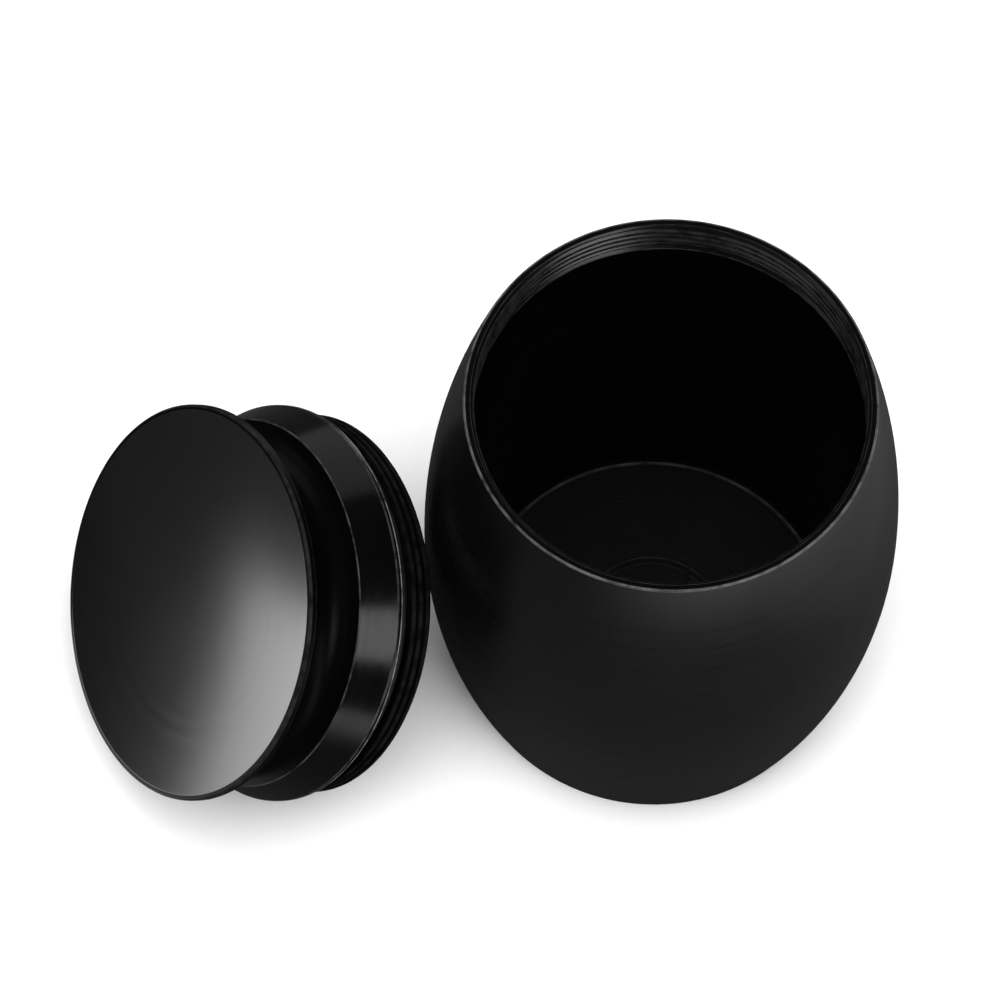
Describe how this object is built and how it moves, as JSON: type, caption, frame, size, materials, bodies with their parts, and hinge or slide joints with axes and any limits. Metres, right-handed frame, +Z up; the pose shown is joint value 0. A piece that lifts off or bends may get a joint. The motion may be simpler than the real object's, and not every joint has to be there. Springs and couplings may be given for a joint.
{
  "type": "screw-lid candle tin",
  "caption": "Small barrel-bellied turned metal tin for candles or balm, standing open, with its dished, waisted screw lid and seal ring leaning against its side.",
  "frame": {"origin": "middle of the jar's flat base, on the surface it stands on", "axes": "+Z up the jar's axis; the lid leans on the jar's -X side, its top facing -X, a little towards -Y and up"},
  "size_m": [0.0829, 0.0545, 0.0538],
  "materials": {
    "jar_anodised": "satin black anodised",
    "lid_anodised": "satin black anodised",
    "seal_rubber": "smooth black rubber"
  },
  "bodies": {
    "jar": {"jar": "jar_anodised"},
    "seal_ring": {"seal_ring": "seal_rubber"},
    "lid": {"lid": "lid_anodised"}
  },
  "joints": [
    {"name": "lid_tip", "type": "hinge", "parent": "jar", "child": "seal_ring", "pos_m": [-0.05326, -0.01553, 0.005], "axis": [0.4083, -0.9128, 0], "range_deg": [0, 125.2]},
    {"name": "lid_turn", "type": "hinge", "parent": "seal_ring", "child": "lid", "pos_m": [-0.03743, -0.00845, 0.0178], "axis": [-0.7459, -0.3337, 0.5764], "continuous": true}
  ]
}
